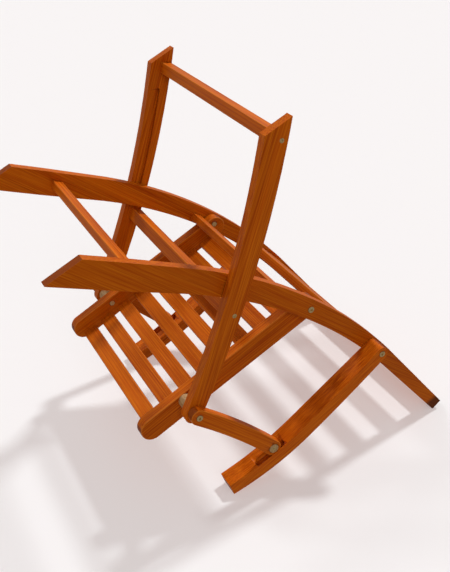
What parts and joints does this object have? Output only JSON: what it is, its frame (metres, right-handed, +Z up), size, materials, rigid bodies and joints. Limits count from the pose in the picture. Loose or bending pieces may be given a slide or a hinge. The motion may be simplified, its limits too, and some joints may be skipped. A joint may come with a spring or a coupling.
{
  "type": "folding chair",
  "caption": "Folding wooden armchair: curved back stiles crossed by bowed rear legs, slatted seat and back, arms carried on swinging links.",
  "frame": {"origin": "middle of the chair's base on the floor, when it stands unfolded on its four feet", "axes": "+X to the sitter's left, -Y the way the chair faces, +Z up"},
  "size_m": [0.59, 0.5748, 0.8605],
  "materials": {
    "hardwood": "satin",
    "dowel_wood": "satin",
    "brass": "satin"
  },
  "bodies": {
    "back_frame": {"left_stile": "hardwood", "right_stile": "hardwood", "front_stretcher": "hardwood", "stop_rail": "hardwood", "back_slat_1": "hardwood", "back_slat_2": "hardwood", "back_slat_3": "hardwood", "back_slat_4": "hardwood", "top_rail": "hardwood", "slide_pins": "brass", "seat_bolts": "brass", "seat_nuts": "brass", "arm_bolts": "brass", "arm_nuts": "brass", "seat_washers": "brass"},
    "seat": {"left_seat_rail": "hardwood", "right_seat_rail": "hardwood", "seat_slat_1": "hardwood", "seat_slat_2": "hardwood", "seat_slat_3": "hardwood", "seat_slat_4": "hardwood", "seat_slat_5": "hardwood", "seat_slat_6": "hardwood", "seat_slat_7": "hardwood", "seat_slat_8": "hardwood", "slat_dowels": "dowel_wood", "front_bolts": "brass", "front_nuts": "brass", "front_spacers": "dowel_wood", "front_washers": "brass"},
    "rear_legs": {"left_leg": "hardwood", "right_leg": "hardwood", "foot_stretcher": "hardwood", "leg_stretcher": "hardwood", "leg_screws": "brass"},
    "left_arm_body": {"left_arm": "hardwood"},
    "right_arm_body": {"right_arm": "hardwood"},
    "left_link_body": {"left_link": "hardwood", "left_link_dowel": "dowel_wood", "left_dowel_screw": "brass"},
    "right_link_body": {"right_link": "hardwood", "right_link_dowel": "dowel_wood", "right_dowel_screw": "brass"}
  },
  "joints": [
    {"name": "seat_fold", "type": "hinge", "parent": "back_frame", "child": "seat", "pos_m": [0, 0.12372, 0.39613], "axis": [-1, 0, 0], "range_deg": [0, 84]},
    {"name": "leg_swing", "type": "hinge", "parent": "seat", "child": "rear_legs", "pos_m": [0, -0.17773, 0.4056], "axis": [1, 0, 0], "range_deg": [0, 27.46]},
    {"name": "left_arm_swing", "type": "hinge", "parent": "back_frame", "child": "left_arm_body", "pos_m": [0, 0.20025, 0.57246], "axis": [-1, 0, 0], "range_deg": [0, 82.99]},
    {"name": "left_link_swing", "type": "hinge", "parent": "seat", "child": "left_link_body", "pos_m": [0, -0.17773, 0.4056], "axis": [1, 0, 0], "range_deg": [0, 84]},
    {"name": "right_arm_swing", "type": "hinge", "parent": "back_frame", "child": "right_arm_body", "pos_m": [0, 0.20025, 0.57246], "axis": [-1, 0, 0], "range_deg": [0, 82.99]},
    {"name": "right_link_swing", "type": "hinge", "parent": "seat", "child": "right_link_body", "pos_m": [0, -0.17773, 0.4056], "axis": [1, 0, 0], "range_deg": [0, 84]}
  ],
  "couplings": [
    {"joint": "leg_swing", "follows": "seat_fold", "ratio": 0.3269},
    {"joint": "left_arm_swing", "follows": "seat_fold", "ratio": 0.988},
    {"joint": "left_link_swing", "follows": "seat_fold", "ratio": 1},
    {"joint": "right_arm_swing", "follows": "seat_fold", "ratio": 0.988},
    {"joint": "right_link_swing", "follows": "seat_fold", "ratio": 1}
  ]
}
